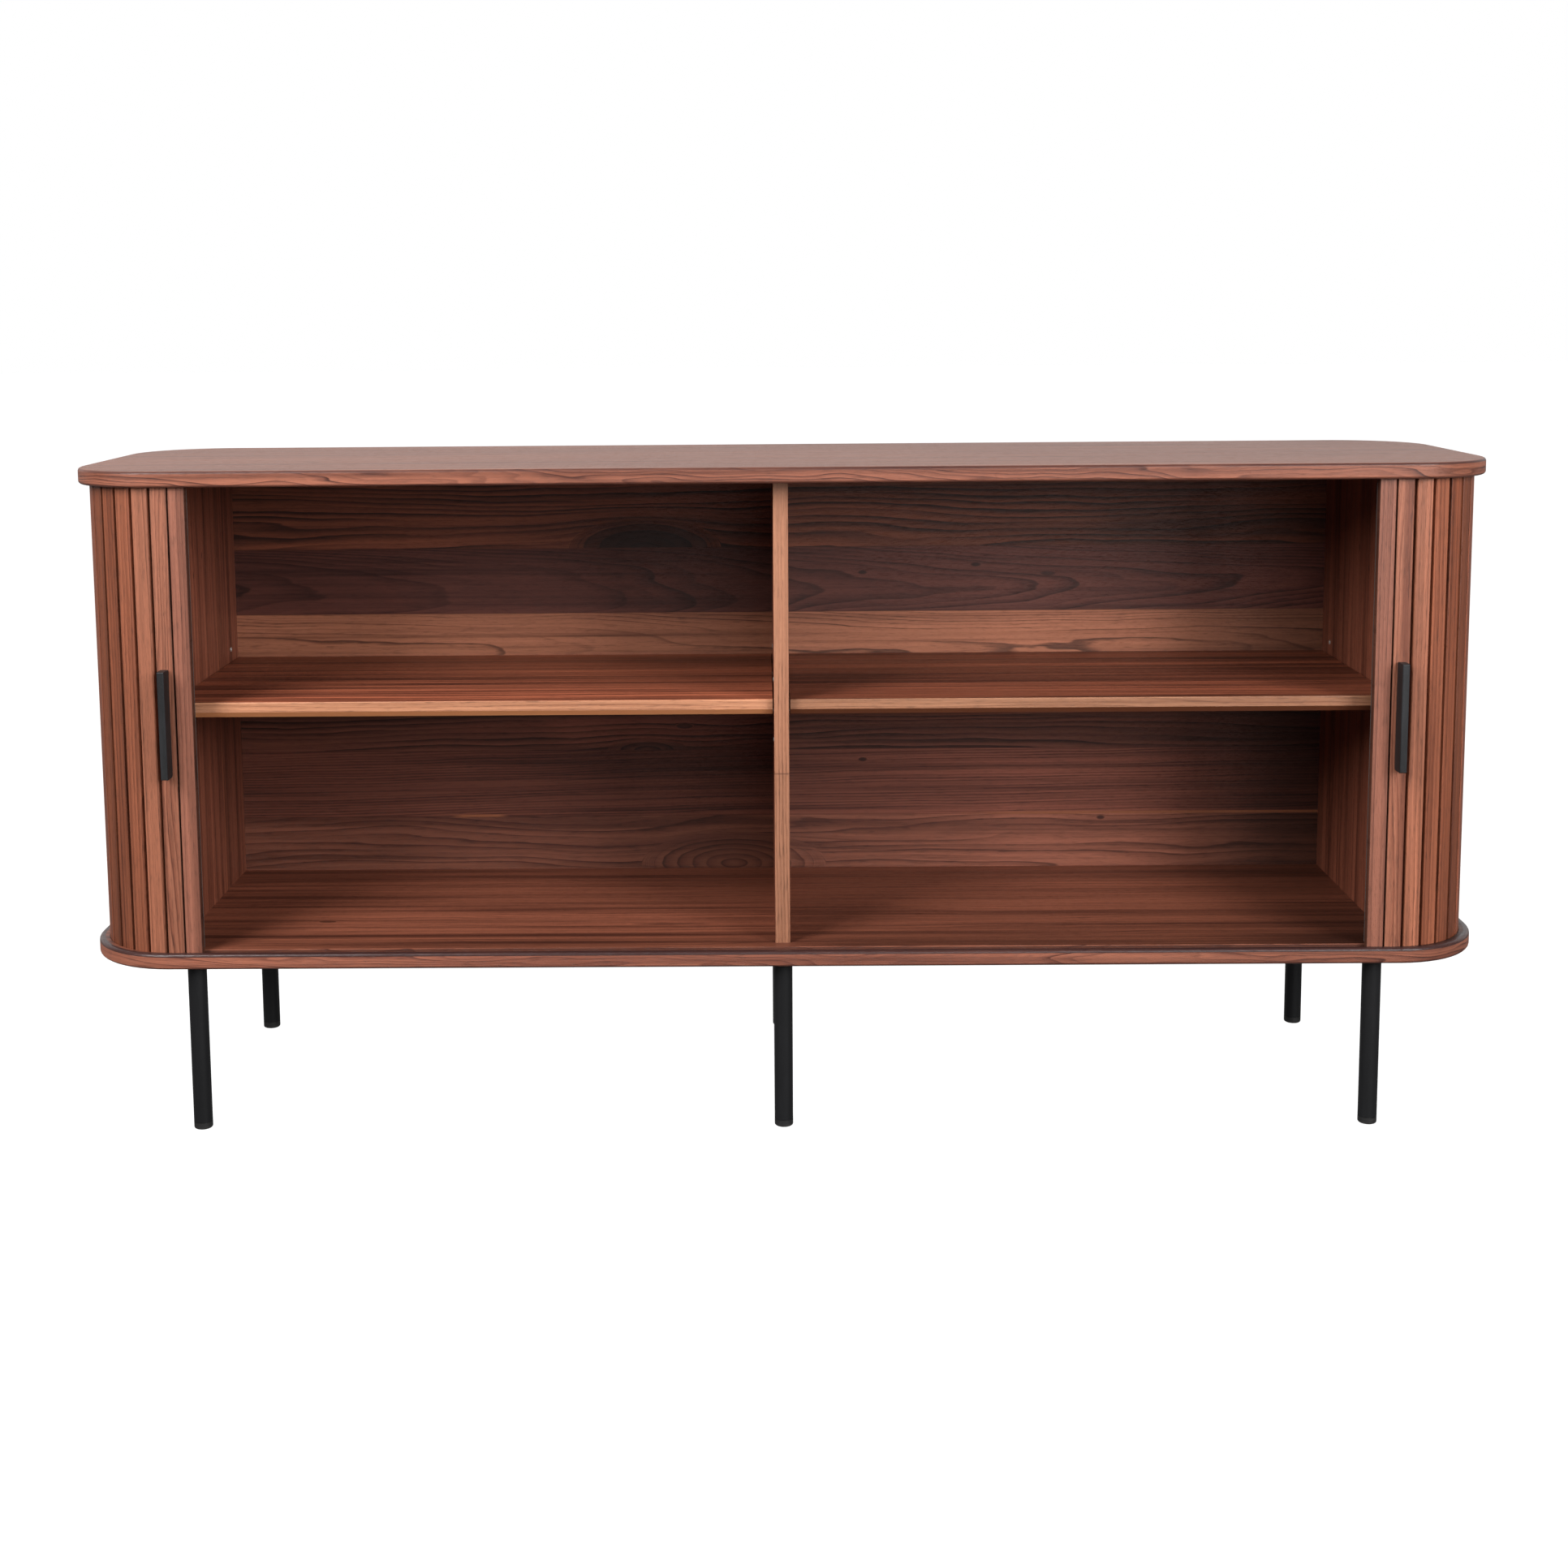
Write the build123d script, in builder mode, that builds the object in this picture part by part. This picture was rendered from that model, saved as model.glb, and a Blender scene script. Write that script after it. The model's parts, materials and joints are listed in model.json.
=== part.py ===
"""Media cabinet with two tambour doors, on six round steel legs. All sizes are in millimetres.

X is the width, Y the depth with the front towards -Y, and Z is up from the floor. The origin is
on the floor, under the middle of the whole object's box. Both doors are modelled open.
"""
from build123d import *
import os
from math import cos, degrees, pi, radians, sin

os.makedirs("parts", exist_ok=True)

# ---- Overall sizes ----
WIDTH = 1600.0
DEPTH = 400.0               # of the top and bottom boards, without the handles
HEIGHT = 760.0
LEG_LENGTH = 195.0          # floor to the underside of the bottom board
BOARD = 18.0                # thickness of the boards, side panels and shelves
BOARD_CORNER_R = 104.0      # plan radius of the four corners
BOARD_EDGE_R = 3.5          # rounding of the boards' long edges

# ---- Handles ----
HANDLE_WIDTH = 8.0
HANDLE_LENGTH = 122.0
HANDLE_STANDS_OUT = 20.0    # from the slat face
HANDLE_SCREW_SPAN = 96.0
HANDLE_SCREW_R = 2.0
HANDLE_SCREW_HEAD_R = 3.5
HANDLE_SCREW_HEAD = 2.0
HANDLE_SCREW_HEAD_EDGE_R = 0.7
HANDLE_SCREW_REACH = 10.0   # into the handle
HANDLE_FRONT_R = 1.2
HANDLE_FOOT_R = 3.0

# ---- Tambour curtains: slats glued on canvas, running in a groove round the whole carcass ----
PITCH = 19.9                # slat spacing along the canvas
SLAT_WIDTH = 18.3
SLAT = 10.0                 # slat thickness
SLAT_CHAMFER = 0.8
FACE_R = 98.0               # plan radius of the slat faces at a corner
FRONT_INSET = 8.0           # slat faces behind the boards' front edge
SIDE_INSET = 12.0
BACK_INSET = 14.0
TONGUE = 5.0                # how far a slat runs up or down into its groove
CANVAS = 0.8
CANVAS_MARGIN = 3.0         # canvas edge to the nearer board
LEAD_CANVAS_INSET = 0.5     # ends of a door's own canvas, inside the spacing of its two slats
CANVAS_SPLIT = 0.9          # start of the rest of the canvas, beyond that spacing
MEETING_GAP = 1.0           # lead slat to the centre line when closed
CLOSING_STEPS = 33          # travel of a door, in slat spacings
LAST_SLAT = 57              # number of a curtain's last slat, the lead slat being number 0
GROOVE = 6.0                # depth of the groove
GROOVE_OUTSIDE = 1.0        # play in front of the slat faces
GROOVE_INSIDE = 1.2         # play behind the slat backs
STOP_HALF = 24.0            # half width of the stop blocks between the two curtains' tails
STOP_THICKNESS = 11.0
STOP_HEIGHT = 12.0
STOP_CORNER_R = 2.0

# ---- Carcass ----
UPRIGHT_X = 694.0           # inner face of a side panel
UPRIGHT_FRONT = 24.0        # side panel behind the boards' front edge
UPRIGHT_EDGE_R = 0.8
DIVIDER = 17.0              # thickness
DIVIDER_FRONT = 34.0
INNER_BACK_FRONT = 365.5
INNER_BACK = 8.0
INNER_BACK_HALF = 703.0
OUTER_BACK_FRONT = 391.5
OUTER_BACK = 6.0
OUTER_BACK_HALF = 690.0
OUTER_BACK_TONGUE = 4.0     # into the slit in each board
OUTER_BACK_EDGE_R = 1.0
SLIT_PLAY = 0.1

# ---- Shelves, on pins in metal sleeves ----
SHELF_TOP_Z = 494.0
SHELF_FRONT = 44.0
SHELF_BACK_PLAY = 1.5
SHELF_END_PLAY = 1.5
SHELF_BEVEL = 6.5
SHELF_EDGE_R = 1.5
PIN_R = 1.5
PIN_IN = 6.0
PIN_OUT = 8.0
PIN_ROWS = (84.0, 330.0)    # behind the boards' front edge
PIN_STEP = 35.0
PIN_CHAMFER = 0.3
SLEEVE_R = 2.1
SLEEVE_DEPTH = 6.5
SLEEVE_FLANGE_R = 2.6
SLEEVE_FLANGE = 0.5
SLEEVE_HOLE_OVERRUN = 0.2

# ---- Dowels and screws ----
PLAY = 0.05                 # radial play round every pin, screw and dowel
HOLE_OVERRUN = 0.5          # hole deeper than the dowel or handle screw in it
DOWEL_R = 4.0
DOWEL_IN_BOARD = 12.0
DOWEL_IN_UPRIGHT = 18.0
DOWEL_ROWS = (80.0, 195.0, 320.0)
CARCASS_SCREW_ROWS = (137.0, 258.0)
BACK_SCREW_X = 698.5
BACK_SCREW_Z = (260.0, 477.5, 695.0)
SCREW_TIP_R = 0.2
# shank radius, head radius and length of each countersunk screw
PLATE_SCREW = (1.75, 3.3, 12.0)
CARCASS_SCREW = (2.25, 4.3, 45.0)
BACK_SCREW = (1.75, 3.3, 30.0)

# ---- Legs ----
LEG_R = 10.65
LEG_WALL = 1.6
LEG_X = 670.0
LEG_INSET = 26.0            # leg axis in from the boards' front and back edges
LEG_CAP = 3.0
PLATE_R = 22.0
PLATE = 3.0                 # thickness of the leg plates, let in flush with the underside
PLATE_SCREW_CIRCLE = 15.5
PLATE_SCREW_ANGLES = (90, 210, 330)
STUD_R = 4.0
STUD_REACH = 8.0            # above its plate
STUD_CHAMFER = 0.8
STUD_HOLE_PLAY = 0.5        # radial
STUD_HOLE_OVERRUN = 2.0
GLIDE = 7.6                 # height of the foot below its neck
GLIDE_NECK = 1.0
GLIDE_NECK_R = 9.8
GLIDE_PLUG = 14.0
GLIDE_PLUG_CHAMFER = 0.6
GLIDE_FOOT_R = 2.2          # rounding where it meets the floor

# ---- Worked out from the above ----
HANDLE_PROUD = HANDLE_STANDS_OUT - FRONT_INSET
FRONT_Y = HANDLE_PROUD / 2 - DEPTH / 2
MID_Y = FRONT_Y + DEPTH / 2
FLOOR_Z = LEG_LENGTH + BOARD            # top face of the bottom board
CEILING_Z = HEIGHT - BOARD              # underside of the top board
MID_Z = (FLOOR_Z + CEILING_Z) / 2
TRAVEL = CLOSING_STEPS * PITCH
LEAD_X = MEETING_GAP + TRAVEL           # inner edge of an open door's lead slat
BACK_R = FACE_R - SLAT                  # plan radius of the line of the slat backs
CORNER_X = WIDTH / 2 - SIDE_INSET - FACE_R
PIN_Z = SHELF_TOP_Z - BOARD - PIN_R - PLAY
TUBE_Z = GLIDE + GLIDE_NECK             # lower end of a leg tube


def depth(distance):
    """Y of a plane this far behind the boards' front edge."""
    return FRONT_Y + distance


def save(builder, name):
    """Label a finished piece and write it as a STEP file of its own."""
    builder.part.label = name
    export_step(builder.part, f"parts/{name}.step")


def save_copies(name, solid, planes):
    """Write copies of one solid, one on each plane, as a single node."""
    with BuildPart() as group:
        with Locations(*planes):
            add(solid)
    save(group, name)


def rounded_plan(front, side, back, radius, mode=Mode.ADD):
    """A rounded rectangle, inset from the boards' edges, for use inside a sketch."""
    with Locations((0, MID_Y + (front - back) / 2)):
        RectangleRounded(WIDTH - 2 * side, DEPTH - front - back, radius, mode=mode)


def cylinder(radius, low, high):
    """A plain cylinder on the Z axis between two heights."""
    with BuildPart() as rod:
        with BuildSketch(Plane.XY.offset(low)):
            Circle(radius)
        extrude(amount=high - low)
    return rod.part


def screw_body(shank_r, head_r, length, play=0.0):
    """A countersunk screw along +Z, its head face at 0. With play it is the hole for one."""
    with BuildPart() as screw:
        with BuildSketch(Plane.XZ):
            with BuildLine():
                Polyline(
                    (0, 0),
                    (head_r + play, 0),
                    (shank_r + play, head_r - shank_r),
                    (shank_r + play, length - 2 * shank_r),
                    (SCREW_TIP_R + play, length + play),
                    (0, length + play),
                    (0, 0),
                )
            make_face()
        revolve(axis=Axis.Z)
    return screw.part


# ---- Places of the legs and of every fastener ----
leg_places = {
    f"{row}_{column}_leg": (x, y)
    for row, y in (("front", depth(LEG_INSET)), ("back", depth(DEPTH - LEG_INSET)))
    for column, x in (("left", -LEG_X), ("centre", 0.0), ("right", LEG_X))
}
plate_screw_planes = [
    Plane(
        origin=(
            x + PLATE_SCREW_CIRCLE * cos(radians(angle)),
            y + PLATE_SCREW_CIRCLE * sin(radians(angle)),
            LEG_LENGTH,
        )
    )
    for x, y in leg_places.values()
    for angle in PLATE_SCREW_ANGLES
]
side_panel_mid = UPRIGHT_X + BOARD / 2
upright_places = (-side_panel_mid, 0.0, side_panel_mid)
dowel_places = [(x, depth(d)) for x in upright_places for d in DOWEL_ROWS]
lower_dowel_planes = [Plane(origin=(x, y, FLOOR_Z)) for x, y in dowel_places]
upper_dowel_planes = [
    Plane(origin=(x, y, CEILING_Z), z_dir=(0, 0, -1)) for x, y in dowel_places
]
carcass_screw_planes = [
    Plane(origin=(x, depth(d), LEG_LENGTH)) for x in upright_places for d in CARCASS_SCREW_ROWS
]
back_screw_planes = [
    Plane(origin=(x, depth(INNER_BACK_FRONT + INNER_BACK), z), z_dir=(0, -1, 0))
    for x in (-BACK_SCREW_X, 0.0, BACK_SCREW_X)
    for z in BACK_SCREW_Z
]

dowel = cylinder(DOWEL_R, -DOWEL_IN_BOARD, DOWEL_IN_UPRIGHT)
dowel_hole = cylinder(
    DOWEL_R + PLAY, -DOWEL_IN_BOARD - HOLE_OVERRUN, DOWEL_IN_UPRIGHT + HOLE_OVERRUN
)
plate_screw_hole = screw_body(*PLATE_SCREW, play=PLAY)
carcass_screw_hole = screw_body(*CARCASS_SCREW, play=PLAY)
back_screw_hole = screw_body(*BACK_SCREW, play=PLAY)
stud_hole = cylinder(STUD_R + STUD_HOLE_PLAY, 0, PLATE + STUD_REACH + STUD_HOLE_OVERRUN)
plate_recess = cylinder(PLATE_R + PLAY, 0, PLATE)


# ---- Top and bottom boards ----
def make_board(low_z, inner_z, inward, dowel_planes):
    """A rounded board. Its inner face is at inner_z, and inward, +1 or -1, points into it."""
    with BuildPart() as board:
        with BuildSketch(Plane.XY.offset(low_z)):
            rounded_plan(0, 0, 0, BOARD_CORNER_R)
        extrude(amount=BOARD)
        fillet(board.faces().sort_by(Axis.Z)[-1].edges(), radius=BOARD_EDGE_R)
        fillet(board.faces().sort_by(Axis.Z)[0].edges(), radius=BOARD_EDGE_R)
        # the groove that the slat ends run in, all the way round
        with BuildSketch(Plane.XY.offset(inner_z)):
            rounded_plan(
                FRONT_INSET - GROOVE_OUTSIDE,
                SIDE_INSET - GROOVE_OUTSIDE,
                BACK_INSET - GROOVE_OUTSIDE,
                FACE_R + GROOVE_OUTSIDE,
            )
            rounded_plan(
                FRONT_INSET + SLAT + GROOVE_INSIDE,
                SIDE_INSET + SLAT + GROOVE_INSIDE,
                BACK_INSET + SLAT + GROOVE_INSIDE,
                BACK_R - GROOVE_INSIDE,
                mode=Mode.SUBTRACT,
            )
        extrude(amount=inward * GROOVE, mode=Mode.SUBTRACT)
        # the slit that holds the outer back panel
        with BuildSketch(Plane.XY.offset(inner_z)):
            with Locations((0, depth(OUTER_BACK_FRONT + OUTER_BACK / 2))):
                Rectangle(2 * (OUTER_BACK_HALF + SLIT_PLAY), OUTER_BACK + 2 * SLIT_PLAY)
        extrude(amount=inward * OUTER_BACK_TONGUE, mode=Mode.SUBTRACT)
        with Locations(*dowel_planes):
            add(dowel_hole, mode=Mode.SUBTRACT)
    return board


top_board = make_board(CEILING_Z, CEILING_Z, 1, upper_dowel_planes)
save(top_board, "top_board")

with BuildPart() as bottom_board:
    add(make_board(LEG_LENGTH, FLOOR_Z, -1, lower_dowel_planes).part)
    with Locations(*plate_screw_planes):
        add(plate_screw_hole, mode=Mode.SUBTRACT)
    with Locations(*carcass_screw_planes):
        add(carcass_screw_hole, mode=Mode.SUBTRACT)
    with Locations(*[(x, y, LEG_LENGTH) for x, y in leg_places.values()]):
        add(stud_hole, mode=Mode.SUBTRACT)
        add(plate_recess, mode=Mode.SUBTRACT)
save(bottom_board, "bottom_board")


# ---- Uprights ----
def pin_planes(heights):
    """Planes at the shelf pin holes, each with its Z axis pointing out into a bay."""
    walls = (
        (-UPRIGHT_X, 1),
        (-DIVIDER / 2, -1),
        (DIVIDER / 2, 1),
        (UPRIGHT_X, -1),
    )
    return [
        Plane(origin=(x, depth(row), z), z_dir=(out, 0, 0))
        for x, out in walls
        for row in PIN_ROWS
        for z in heights
    ]


sleeve_planes = pin_planes((PIN_Z - PIN_STEP, PIN_Z, PIN_Z + PIN_STEP))
sleeve_hole = cylinder(SLEEVE_R + PLAY, -SLEEVE_DEPTH - SLEEVE_HOLE_OVERRUN, 0)


def make_upright(mid_x, front, thickness):
    """An upright board between the top and bottom boards, drilled for all its fittings."""
    back = INNER_BACK_FRONT
    with BuildPart() as upright:
        with BuildSketch(Plane.XY.offset(FLOOR_Z)):
            with Locations((mid_x, depth((front + back) / 2))):
                Rectangle(thickness, back - front)
        extrude(amount=CEILING_Z - FLOOR_Z)
        front_edges = upright.faces().sort_by(Axis.Y)[0].edges().filter_by(Axis.Z)
        fillet(front_edges, radius=UPRIGHT_EDGE_R)
        with Locations(*lower_dowel_planes, *upper_dowel_planes):
            add(dowel_hole, mode=Mode.SUBTRACT)
        with Locations(*carcass_screw_planes):
            add(carcass_screw_hole, mode=Mode.SUBTRACT)
        with Locations(*back_screw_planes):
            add(back_screw_hole, mode=Mode.SUBTRACT)
        with Locations(*sleeve_planes):
            add(sleeve_hole, mode=Mode.SUBTRACT)
    return upright


save(make_upright(-side_panel_mid, UPRIGHT_FRONT, BOARD), "left_side_panel")
save(make_upright(0, DIVIDER_FRONT, DIVIDER), "centre_divider")
save(make_upright(side_panel_mid, UPRIGHT_FRONT, BOARD), "right_side_panel")

# ---- Inner and outer backs, with the curtains' storage space between them ----
with BuildPart() as inner_back_panel:
    with BuildSketch(Plane.XY.offset(FLOOR_Z)):
        with Locations((0, depth(INNER_BACK_FRONT + INNER_BACK / 2))):
            Rectangle(2 * INNER_BACK_HALF, INNER_BACK)
    extrude(amount=CEILING_Z - FLOOR_Z)
    with Locations(*back_screw_planes):
        add(back_screw_hole, mode=Mode.SUBTRACT)
save(inner_back_panel, "inner_back_panel")

with BuildPart() as outer_back_panel:
    with BuildSketch(Plane.XY.offset(FLOOR_Z - OUTER_BACK_TONGUE + SLIT_PLAY)):
        with Locations((0, depth(OUTER_BACK_FRONT + OUTER_BACK / 2))):
            Rectangle(2 * OUTER_BACK_HALF, OUTER_BACK)
    extrude(amount=CEILING_Z - FLOOR_Z + 2 * (OUTER_BACK_TONGUE - SLIT_PLAY))
    fillet(outer_back_panel.edges().filter_by(Axis.Z), radius=OUTER_BACK_EDGE_R)
save(outer_back_panel, "outer_back_panel")

# ---- Shelves ----
shelf_inner_x = DIVIDER / 2 + SHELF_END_PLAY
shelf_outer_x = UPRIGHT_X - SHELF_END_PLAY
shelf_depth = INNER_BACK_FRONT - SHELF_BACK_PLAY - SHELF_FRONT
for side, name in ((-1, "left_shelf"), (1, "right_shelf")):
    with BuildPart() as shelf:
        with BuildSketch(Plane.XY.offset(SHELF_TOP_Z - BOARD)):
            with Locations(
                (side * (shelf_inner_x + shelf_outer_x) / 2, depth(SHELF_FRONT + shelf_depth / 2))
            ):
                Rectangle(shelf_outer_x - shelf_inner_x, shelf_depth)
        extrude(amount=BOARD)
        front_edges = shelf.faces().sort_by(Axis.Y)[0].edges().filter_by(Axis.X)
        chamfer(front_edges.sort_by(Axis.Z)[0], length=SHELF_BEVEL)
        fillet(front_edges.sort_by(Axis.Z)[-1], radius=SHELF_EDGE_R)
    save(shelf, name)

with BuildPart() as shelf_sleeve:
    with BuildSketch(Plane.XY.offset(-SLEEVE_DEPTH)):
        Circle(SLEEVE_R)
    extrude(amount=SLEEVE_DEPTH)
    with BuildSketch(Plane.XY):
        Circle(SLEEVE_FLANGE_R)
    extrude(amount=SLEEVE_FLANGE)
    with BuildSketch(Plane.XY.offset(-SLEEVE_DEPTH)):
        Circle(PIN_R + PLAY)
    extrude(amount=SLEEVE_DEPTH + SLEEVE_FLANGE, mode=Mode.SUBTRACT)
save_copies("shelf_pin_sleeves", shelf_sleeve.part, sleeve_planes)

with BuildPart() as shelf_pin:
    add(cylinder(PIN_R, -PIN_IN, PIN_OUT))
    chamfer(shelf_pin.edges().filter_by(GeomType.CIRCLE), length=PIN_CHAMFER)
save_copies("shelf_pins", shelf_pin.part, pin_planes((PIN_Z,)))

# ---- Dowels and screws of the carcass ----
save_copies("carcass_dowels", dowel, lower_dowel_planes + upper_dowel_planes)
save_copies("carcass_screws", screw_body(*CARCASS_SCREW), carcass_screw_planes)
save_copies("back_panel_screws", screw_body(*BACK_SCREW), back_screw_planes)


# ---- Tambour curtains ----
front_run = CORNER_X - LEAD_X           # lead edge to the start of the front corner
corner_run = BACK_R * pi / 2
side_run = DEPTH - FRONT_INSET - BACK_INSET - 2 * FACE_R
corner_y_front = depth(FRONT_INSET + FACE_R)
corner_y_back = depth(DEPTH - BACK_INSET - FACE_R)
FRONT, FRONT_CORNER, SIDE, REAR_CORNER, BACK = range(5)


def curtain_point(run):
    """Place on the line of the slat backs, for the right-hand curtain.

    run is the distance along that line from the lead edge. It returns X, Y, the turn of the
    line from the front in degrees, and the stretch that the point lies on.
    """
    if run < front_run:
        return LEAD_X + run, corner_y_front - BACK_R, 0.0, FRONT
    run -= front_run
    if run < corner_run:
        turn = run / BACK_R
        x = CORNER_X + BACK_R * sin(turn)
        return x, corner_y_front - BACK_R * cos(turn), degrees(turn), FRONT_CORNER
    run -= corner_run
    if run < side_run:
        return CORNER_X + BACK_R, corner_y_front + run, 90.0, SIDE
    run -= side_run
    if run < corner_run:
        turn = pi / 2 + run / BACK_R
        x = CORNER_X + BACK_R * sin(turn)
        return x, corner_y_back - BACK_R * cos(turn), degrees(turn), REAR_CORNER
    run -= corner_run
    return CORNER_X - run, corner_y_back + BACK_R, 180.0, BACK


def slat_locations(side, stretch):
    """Where the slats of one stretch stand, as plan locations with local +Y facing outwards."""
    places = []
    for number in range(LAST_SLAT + 1):
        x, y, turn, found = curtain_point((number + 0.5) * PITCH)
        if found == stretch:
            places.append(Location((side * x, y, 0), (0, 0, 180 + side * turn)))
    return places


def make_slats(places):
    """Slats of the full height, each with its two outer edges lightly chamfered."""
    half = SLAT_WIDTH / 2
    with BuildPart() as slats:
        with BuildSketch(Plane.XY.offset(FLOOR_Z - TONGUE)):
            with Locations(*places):
                Polygon(
                    (-half, 0),
                    (half, 0),
                    (half, SLAT - SLAT_CHAMFER),
                    (half - SLAT_CHAMFER, SLAT),
                    (-half + SLAT_CHAMFER, SLAT),
                    (-half, SLAT - SLAT_CHAMFER),
                    align=None,
                )
        extrude(amount=CEILING_Z - FLOOR_Z + 2 * TONGUE)
    return slats


canvas_low_z = FLOOR_Z + CANVAS_MARGIN
canvas_height = CEILING_Z - FLOOR_Z - 2 * CANVAS_MARGIN
slat_face = FRONT_INSET
slat_back = FRONT_INSET + SLAT
canvas_back = slat_back + CANVAS
canvas_split_x = LEAD_X + 2 * PITCH + CANVAS_SPLIT
screw_tip = slat_face - HANDLE_SCREW_REACH
screw_heights = (MID_Z - HANDLE_SCREW_SPAN / 2, MID_Z + HANDLE_SCREW_SPAN / 2)


def along_depth(x, z, distance):
    """Plane at this distance behind the front edge, with its Z axis towards the front."""
    return Plane(origin=(x, depth(distance), z), x_dir=(1, 0, 0), z_dir=(0, -1, 0))


for side, name in ((-1, "left"), (1, "right")):
    lead_place, handle_place = slat_locations(side, FRONT)
    handle_x = handle_place.position.X
    screw_planes = [along_depth(handle_x, z, canvas_back) for z in screw_heights]
    screw_hole = cylinder(HANDLE_SCREW_R + PLAY, 0, canvas_back - screw_tip + HOLE_OVERRUN)

    # the two slats at the door's leading edge, which carry the handle
    save(make_slats([lead_place]), f"{name}_lead_slat")
    with BuildPart() as handle_slat:
        add(make_slats([handle_place]).part)
        with Locations(*screw_planes):
            add(screw_hole, mode=Mode.SUBTRACT)
    save(handle_slat, f"{name}_handle_slat")

    with BuildPart() as lead_canvas:
        with BuildSketch(Plane.XY.offset(canvas_low_z)):
            with Locations((side * (LEAD_X + PITCH), depth(slat_back + CANVAS / 2))):
                Rectangle(2 * (PITCH - LEAD_CANVAS_INSET), CANVAS)
        extrude(amount=canvas_height)
        with Locations(*screw_planes):
            add(screw_hole, mode=Mode.SUBTRACT)
    save(lead_canvas, f"{name}_lead_canvas")

    with BuildPart() as handle:
        with BuildSketch(along_depth(handle_x, MID_Z, slat_face)):
            Rectangle(HANDLE_WIDTH, HANDLE_LENGTH)
        extrude(amount=HANDLE_STANDS_OUT)
        foot_edges = handle.faces().sort_by(Axis.Y)[-1].edges().filter_by(Axis.X)
        fillet(foot_edges, radius=HANDLE_FOOT_R)
        fillet(handle.faces().sort_by(Axis.Y)[0].edges(), radius=HANDLE_FRONT_R)
        with Locations(*screw_planes):
            add(screw_hole, mode=Mode.SUBTRACT)
    save(handle, f"{name}_handle")

    with BuildPart() as handle_screw:
        add(cylinder(HANDLE_SCREW_R, 0, canvas_back - screw_tip))
        add(cylinder(HANDLE_SCREW_HEAD_R, -HANDLE_SCREW_HEAD, 0))
        fillet(handle_screw.edges().sort_by(Axis.Z)[0], radius=HANDLE_SCREW_HEAD_EDGE_R)
    save_copies(f"{name}_handle_screws", handle_screw.part, screw_planes)

    # the rest of the curtain, round the corner, along the side and behind the inner back
    save(make_slats(slat_locations(side, FRONT_CORNER)), f"{name}_front_corner_slats")
    save(make_slats(slat_locations(side, SIDE)), f"{name}_side_slats")
    save(make_slats(slat_locations(side, REAR_CORNER)), f"{name}_rear_corner_slats")
    save(make_slats(slat_locations(side, BACK)), f"{name}_back_slats")

    tail_x = curtain_point((LAST_SLAT + 1) * PITCH)[0]
    with BuildPart() as curtain_canvas:
        with BuildSketch(Plane.XY.offset(canvas_low_z)):
            rounded_plan(slat_back, SIDE_INSET + SLAT, BACK_INSET + SLAT, BACK_R)
            rounded_plan(
                canvas_back,
                SIDE_INSET + SLAT + CANVAS,
                BACK_INSET + SLAT + CANVAS,
                BACK_R - CANVAS,
                mode=Mode.SUBTRACT,
            )
            with Locations((0, depth(0))):
                Rectangle(2 * canvas_split_x, DEPTH / 2, mode=Mode.SUBTRACT)
            with Locations((-side * WIDTH / 2, MID_Y)):
                Rectangle(WIDTH + 2 * tail_x, DEPTH, mode=Mode.SUBTRACT)
        extrude(amount=canvas_height)
    save(curtain_canvas, f"{name}_curtain_canvas")

# ---- Stop blocks in the rear of the groove, between the two tails ----
stop_y = depth(DEPTH - BACK_INSET - SLAT / 2)
with BuildPart() as track_stops:
    for stop_z in (FLOOR_Z - GROOVE, CEILING_Z + GROOVE - STOP_HEIGHT):
        with BuildSketch(Plane.XY.offset(stop_z)):
            with Locations((0, stop_y)):
                RectangleRounded(2 * STOP_HALF, STOP_THICKNESS, STOP_CORNER_R)
        extrude(amount=STOP_HEIGHT)
save(track_stops, "track_stops")

# ---- Legs, each with its plate and its glide ----
for name, (x, y) in leg_places.items():
    with BuildPart() as leg:
        with BuildSketch(Plane.XY.offset(TUBE_Z)):
            with Locations((x, y)):
                Circle(LEG_R)
                Circle(LEG_R - LEG_WALL, mode=Mode.SUBTRACT)
        extrude(amount=LEG_LENGTH - LEG_CAP - TUBE_Z)
        with BuildSketch(Plane.XY.offset(LEG_LENGTH - LEG_CAP)):
            with Locations((x, y)):
                Circle(LEG_R)
        extrude(amount=LEG_CAP)
        with BuildSketch(Plane.XY.offset(LEG_LENGTH)):
            with Locations((x, y)):
                Circle(STUD_R)
        extrude(amount=PLATE + STUD_REACH)
        chamfer(leg.edges().sort_by(Axis.Z)[-1], length=STUD_CHAMFER)
    save(leg, name)

    with BuildPart() as plate:
        with BuildSketch(Plane.XY.offset(LEG_LENGTH)):
            with Locations((x, y)):
                Circle(PLATE_R)
                Circle(STUD_R + PLAY, mode=Mode.SUBTRACT)
        extrude(amount=PLATE)
        with Locations(*plate_screw_planes):
            add(plate_screw_hole, mode=Mode.SUBTRACT)
    save(plate, f"{name}_plate")

    with BuildPart() as glide:
        with BuildSketch(Plane.XY):
            with Locations((x, y)):
                Circle(LEG_R)
        extrude(amount=GLIDE)
        fillet(glide.edges().sort_by(Axis.Z)[0], radius=GLIDE_FOOT_R)
        with BuildSketch(Plane.XY.offset(GLIDE)):
            with Locations((x, y)):
                Circle(GLIDE_NECK_R)
        extrude(amount=GLIDE_NECK)
        with BuildSketch(Plane.XY.offset(TUBE_Z)):
            with Locations((x, y)):
                Circle(LEG_R - LEG_WALL - PLAY)
        extrude(amount=GLIDE_PLUG)
        chamfer(glide.edges().sort_by(Axis.Z)[-1], length=GLIDE_PLUG_CHAMFER)
    save(glide, f"{name}_glide")

save_copies("leg_plate_screws", screw_body(*PLATE_SCREW), plate_screw_planes)

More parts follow.
